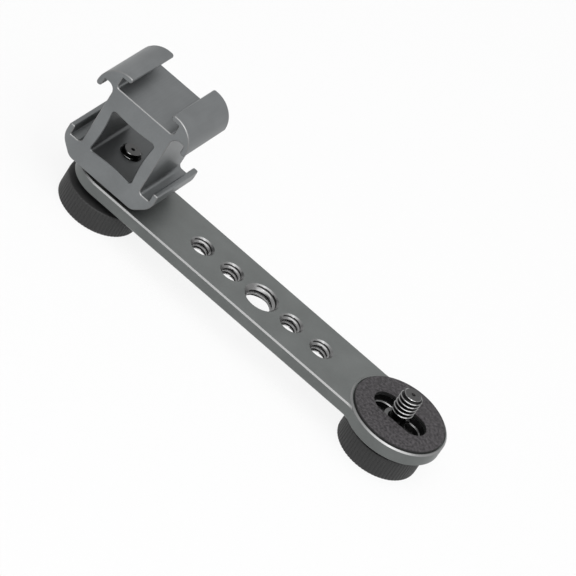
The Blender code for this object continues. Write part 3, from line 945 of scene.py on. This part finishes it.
# The friction ring takes the darker rubber, which is painted shade.
turned_ring("swivel_ring", "friction_ring", "shoe_block", CLEAR_BORE / 2 + SEAT_GAP,
            rubber_painted_shade_finish)
for side in ("shoe", "camera"):
    turned_ring(side + "_slide_washer", side + "_washer", side + "_washer", CLEAR_BORE / 2,
                washer_finish)

# %% [markdown]
# ## The knobs
# Each knob is a moulded disc with 72 fine ribs, which run out over its rounded rim. The ribs could
# be an array of bars joined on, but a ring of points that follows them is no harder to join than a
# plain circle. A hexagon drawn with equally many points joins up with it too.

# %% Draw the ribs and the hexagon
RIBS = 72
RIB_DEPTH = 0.12 * MM
RIB_POINTS = ((-0.40, 1.0), (-0.36, 0.75), (-0.29, 0.15), (-0.25, 0.0), (0.25, 0.0), (0.29, 0.15),
              (0.36, 0.75), (0.40, 1.0))
KNOB_SIDES = RIBS * len(RIB_POINTS)


def ribbed(radius, cx, depth=1.0):
    ring = []
    for i in range(RIBS):
        for share, drop in RIB_POINTS:
            angle = 2 * math.pi * (i + share) / RIBS
            reach = radius - RIB_DEPTH * drop * depth
            ring.append((cx + reach * math.cos(angle), reach * math.sin(angle)))
    return ring


def hexagon(flats, cx, sides):
    ring = []
    for i in range(sides):
        angle = 2 * math.pi * i / sides
        reach = flats / 2 / math.cos(angle % (math.pi / 3) - math.pi / 6)
        ring.append((cx + reach * math.cos(angle), reach * math.sin(angle)))
    return ring


print("a ribbed ring has", KNOB_SIDES, "points")

# %% [markdown]
# Rim, hub and socket could be cut and joined with Booleans. Rings alone are enough here: they start
# at the top of the bore, go out over the hub and the rim, down the ribs and back in underneath,
# where a hexagon socket holds the screw's head, and end at the foot of the bore. The rim's rounding
# is a short list of steps, used once above and once below, and the ribs fade out over it.

# %% Form the knobs
KNOB_RIM = 0.45 * MM
KNOB_FOOT_RIM = 0.75 * MM
RIM_STEPS = ((0.62, 0.02, 0.45), (0.28, 0.16, 0.85), (0.08, 0.42, 1.0), (0.0, 1.0, 1.0))
HUB_RADIUS = 6.5 * MM
HUB_HEIGHT = 0.55 * MM
HUB_EDGE = 0.15 * MM
SHELF_WIDTH = 2.2 * MM
DISH_RIM = 1.7 * MM
DISH_DEPTH = 0.8 * MM
HEAD_FLATS = 11.1 * MM
HEAD_HEIGHT = 4.0 * MM


def make_knob(side):
    low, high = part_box(side + "_knob")
    cx = (low.x + high.x) / 2
    radius = (high.x - low.x) / 2
    shoulder = high.z - HUB_HEIGHT
    dish = radius - DISH_RIM
    socket = HEAD_FLATS + 2 * SEAT_GAP
    socket_top = SEAT_GAP + DISH_DEPTH + HEAD_HEIGHT + SEAT_GAP
    rings = [flat_ring(circle(r, KNOB_SIDES, cx), z) for r, z in (
        (CLEAR_BORE / 2, high.z), (HUB_RADIUS - HUB_EDGE, high.z), (HUB_RADIUS, high.z - HUB_EDGE),
        (HUB_RADIUS, shoulder), (radius - SHELF_WIDTH, shoulder), (radius - RIB_DEPTH - KNOB_RIM, shoulder))]
    for inset, drop, depth in RIM_STEPS:
        rings.append(flat_ring(ribbed(radius - inset * KNOB_RIM, cx, depth), shoulder - drop * KNOB_RIM))
    for inset, drop, depth in reversed(RIM_STEPS):
        ribs = ribbed(radius - inset * KNOB_FOOT_RIM, cx, depth)
        rings.append(flat_ring(ribs, low.z + drop * KNOB_FOOT_RIM))
    for r, z in ((radius - RIB_DEPTH - KNOB_FOOT_RIM, low.z), (dish, low.z),
                 (dish - DISH_DEPTH, low.z + DISH_DEPTH)):
        rings.append(flat_ring(circle(r, KNOB_SIDES, cx), z))
    for z in (low.z + DISH_DEPTH, socket_top):
        rings.append(flat_ring(hexagon(socket, cx, KNOB_SIDES), z))
    rings.append(flat_ring(circle(CLEAR_BORE / 2, KNOB_SIDES, cx), socket_top))
    knob = add_mesh(side + "_knob_grip", skin(rings, loop=True), [knob_finish])
    fit_out(knob, side + "_knob", side + "_knob")


for side in ("shoe", "camera"):
    make_knob(side)

# %% [markdown]
# ## The screws
# The screws are made a little under size, so that they turn freely. The camera screw has a plain
# groove for the ring that keeps it from falling out, and is thinner from there up to the thread that
# enters the camera. Groove and neck could be cut out of a finished screw, but as entries in the list
# of limits they come with the thread. The list starts and ends at the root's radius.

# %% Trim the screws' threads
SCREW_THREAD = (6.3 * MM, SMALL_THREAD[1])
CLIP_GROOVE = 0.7 * MM
NECK_HEIGHT = 3.4 * MM
STEP = 0.01 * MM
crest = SCREW_THREAD[0] / 2
depth = THREAD_DEPTH * SCREW_THREAD[1]
root = crest - depth


def screw_limits(head_top, rim_low, groove):
    limits = [(head_top, root), (head_top + STEP, crest)]
    if groove:
        bottom = crest - CLIP_GROOVE
        thread_start = groove[0] + NECK_HEIGHT
        limits += [(groove[0], crest), (groove[0] + STEP, bottom), (groove[1], bottom),
                   (groove[1] + STEP, root), (thread_start, root), (thread_start + depth, crest)]
    return limits + [(rim_low - depth, crest), (rim_low, root)]


print(f"a screw is {2 * crest / MM:.2f} mm over its crests and {2 * root / MM:.2f} mm at the root")

# %% [markdown]
# At its lower end each screw has a hexagon head, pressed into its knob from below, and at its upper
# end a bevel and a small dimple. Head, thread and tip could be three meshes pushed together, but they
# are joined at the root's radius into one closed skin, which has no hidden faces inside.

# %% Form the screws
HEAD_CHAMFER = 0.45 * MM
TIP_RIM = 0.12 * MM
TIP_DIMPLE = 0.6 * MM


def make_screw(side, groove=None):
    low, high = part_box(side + "_screw")
    cx = (low.x + high.x) / 2
    rim_low = high.z - TIP_RIM
    head_top = low.z + HEAD_HEIGHT
    sides = THREAD_SIDES
    rings = [flat_ring(circle(HEAD_FLATS / 2 - HEAD_CHAMFER, sides, cx), low.z),
             flat_ring(hexagon(HEAD_FLATS, cx, sides), low.z + HEAD_CHAMFER),
             flat_ring(hexagon(HEAD_FLATS, cx, sides), head_top),
             flat_ring(circle(root, sides, cx), head_top)]
    bm = skin(rings, (2, 2, 2), caps=(True, False), cap_finish=2)
    limits = screw_limits(head_top, rim_low, groove)
    thread_wall(bm, SCREW_THREAD, limits, True, rim_low - depth, cx)
    tip = [(root, rim_low), (root - TIP_RIM, high.z), (TIP_DIMPLE, high.z),
           (TIP_DIMPLE / 3, high.z - TIP_DIMPLE / 2)]
    tip_rings = [flat_ring(circle(r, sides, cx), z) for r, z in tip]
    # The tip's rim takes the crest steel, a painted highlight, and its dimple the root steel, painted shade.
    skin(tip_rings, (0, 3, 1), bm=bm, caps=(False, True), cap_finish=1)
    screw = add_mesh(side + "_screw_thread", bm, [crest_painted_highlight_finish, root_painted_shade_finish, screw_finish, tip_finish])
    fit_out(screw, side + "_knob", side + "_screw")


make_screw("shoe")
clip_low, clip_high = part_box("camera_screw_clip")
make_screw("camera", (clip_low.z - SEAT_GAP, clip_high.z + SEAT_GAP))

# %% [markdown]
# The ring that keeps the camera screw captive is made of flat spring steel and open on one side, so
# that it can be pushed into the screw's groove. It could be a washer with a piece cut out, but an
# outline of two arcs that run opposite ways needs no cutting at all.

# %% Form the retaining ring
CLIP_OPENING = math.radians(80)
CLIP_EDGE = 0.08 * MM
clip_inner = SCREW_THREAD[0] / 2 - CLIP_GROOVE + SEAT_GAP
clip_outer = WIDE_SLOT / 2 - SEAT_GAP


def clip_outline(inset):
    start, end = CLIP_OPENING / 2, 2 * math.pi - CLIP_OPENING / 2
    return (arc(camera_x, 0.0, clip_outer - inset, start, end)
            + arc(camera_x, 0.0, clip_inner + inset, end, start))


clip_levels = broken_levels(clip_low.z, clip_high.z, CLIP_EDGE)
clip_rings = [flat_ring(clip_outline(inset), z) for inset, z in clip_levels]
clip = add_mesh("retaining_ring", skin(clip_rings, (1, 0, 1)), [spring_finish, edge_finish])
fit_out(clip, "camera_knob", "camera_screw_clip")

# %% [markdown]
# ## Floor and light
# The object stands on a plain pale floor in a white room. A brighter lamp would whiten the ground
# but also wash out the metal. Instead the camera and reflections look through most of the floor at
# the room, so the picture's ground comes out white, while the light that floor and room throw on
# the object stays at a plain level. The rest of the floor's own shading stays, and holds the
# object's shadow. A knob that is unscrewed below the floor can still be seen.

# %% Lay the floor
FLOOR_REACH = 6.0
FLOOR_GREY = 0.85
FLOOR_CLEARNESS = 0.88


def looked_at(nodes):
    """1 where the camera or a reflection looks straight at a surface, 0 for light bounced from it."""
    camera_ray = nodes.node("LightPath", output="Is Camera Ray")
    mirrored = camera_ray.beside("Is Glossy Ray")
    passed = camera_ray.beside("Is Transmission Ray")
    return camera_ray.larger(mirrored).larger(passed)


floor_bm = bmesh.new()
bmesh.ops.create_grid(floor_bm, x_segments=1, y_segments=1, size=FLOOR_REACH)
floor_look, floor_shader, floor_nodes = start_material("studio_floor", Roughness=0.9)
floor_shader.inputs["Base Color"].default_value = grey(FLOOR_GREY)
clear = floor_nodes.node("BsdfTransparent")
painted = Signal(floor_nodes.tree, floor_shader.outputs[0])
share = looked_at(floor_nodes) * FLOOR_CLEARNESS
surface = floor_nodes.node("MixShader", {}, {0: share, 1: painted, 2: clear})
floor_nodes.tree.links.new(surface.socket, floor_nodes.tree.nodes["Material Output"].inputs["Surface"])
floor = add_mesh("floor", floor_bm, [floor_look])
print(f"the floor reaches {FLOOR_REACH:.0f} m each way")

# %% [markdown]
# One large softbox above and a little to the right of the camera gives the even, almost shadowless
# light of a product picture, and turns the broken edges into thin bright lines. A point lamp would
# leave hard shadows. A much smaller key lamp from nearly the same side adds the sparks on the
# polished thread crests.

# %% Light the object
AIM = Vector((0.0, 0.0, 0.02))


def add_softbox(name, towards, distance, size, glow):
    """A square lamp that faces the object. Its glow is its brightness, where 1 is white."""
    towards = Vector(towards).normalized()
    lamp = bpy.data.lights.new(name, "AREA")
    lamp.shape = "SQUARE"
    lamp.size = size
    lamp.energy = glow * math.pi * size ** 2
    holder = bpy.data.objects.new(name, lamp)
    holder.location = AIM + towards * distance
    holder.rotation_euler = towards.to_track_quat("Z", "Y").to_euler()
    scene.collection.objects.link(holder)
    print(f"{name}: {lamp.energy:.1f} W")


add_softbox("softbox", (0.30, -0.38, 0.875), 1.35, 1.9, 2.05)
add_softbox("key", (0.38, -0.52, 0.77), 1.3, 0.2, 11.0)

# %% [markdown]
# The room fills the shadows. A picture of a studio wrapped round the scene would give richer
# reflections, but this metal is too matte to show them. So the room is one white, seen in full by
# the camera and by reflections, and dim as a source of light, by the same trick as the floor.

# %% Surround it with a room
ROOM_LIGHT = 0.3
room = bpy.data.worlds.new("room")
room.use_nodes = True
scene.world = room
room_nodes = Signal(room.node_tree)
strength = ROOM_LIGHT + (1 - ROOM_LIGHT) * looked_at(room_nodes)
backdrop = room.node_tree.nodes["Background"]
backdrop.inputs["Color"].default_value = grey(1.0)
room.node_tree.links.new(strength.socket, backdrop.inputs["Strength"])
print("the room's light on the object has strength", ROOM_LIGHT)

# %% [markdown]
